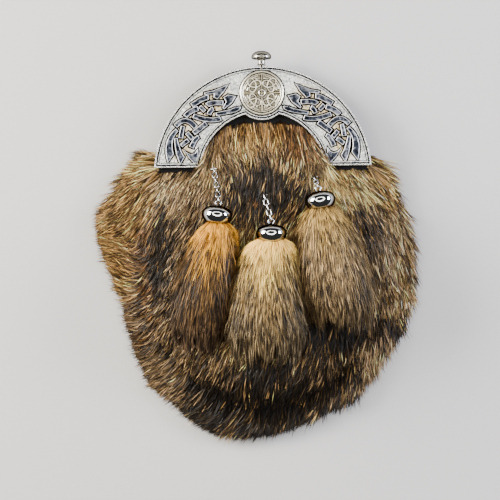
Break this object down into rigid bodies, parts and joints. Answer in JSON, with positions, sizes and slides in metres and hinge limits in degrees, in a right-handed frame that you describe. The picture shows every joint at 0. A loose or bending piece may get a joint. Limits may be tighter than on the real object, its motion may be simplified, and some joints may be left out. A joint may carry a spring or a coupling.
{
  "type": "sporran pouch",
  "caption": "Fur-covered leather belt pouch with a cast metal half-moon cantle, a clasp knob and fur tassels that hang on chains from domed caps.",
  "frame": {"origin": "on the back panel's rear face, under the centre of the cantle's arch", "axes": "+Z out of the front of the pouch, +Y to its top, +X to the right as seen from the front"},
  "size_m": [0.2218, 0.2702, 0.0555],
  "materials": {
    "back_leather": "smooth black leather",
    "pouch_leather": "dark tanned hide, flesh side in",
    "coat_fur": "deep agouti fur",
    "black_leather": "black leather with a pinked edge",
    "cast_metal": "cast, silver plated, stippled ground and polished relief",
    "plated_metal": "polished chrome plate",
    "chain_metal": "plated wire",
    "tan_fur": "orange-tan fur",
    "cream_fur": "cream and grey fur",
    "agouti_fur": "grey-brown fur"
  },
  "bodies": {
    "root": {"back_panel": "back_leather", "pouch_shell": "pouch_leather", "fur_pelt": "coat_fur", "cantle_backing": "black_leather", "cantle": "cast_metal", "clasp_knob": "plated_metal", "chain_staple_left": "chain_metal", "chain_staple_middle": "chain_metal", "chain_staple_right": "chain_metal", "tassel_chain_left": "chain_metal", "tassel_chain_middle": "chain_metal", "tassel_chain_right": "chain_metal", "tassel_cap_left": "plated_metal", "tassel_cap_middle": "plated_metal", "tassel_cap_right": "plated_metal", "tassel_fur_left": "tan_fur", "tassel_fur_middle": "cream_fur", "tassel_fur_right": "agouti_fur"}
  },
  "joints": []
}
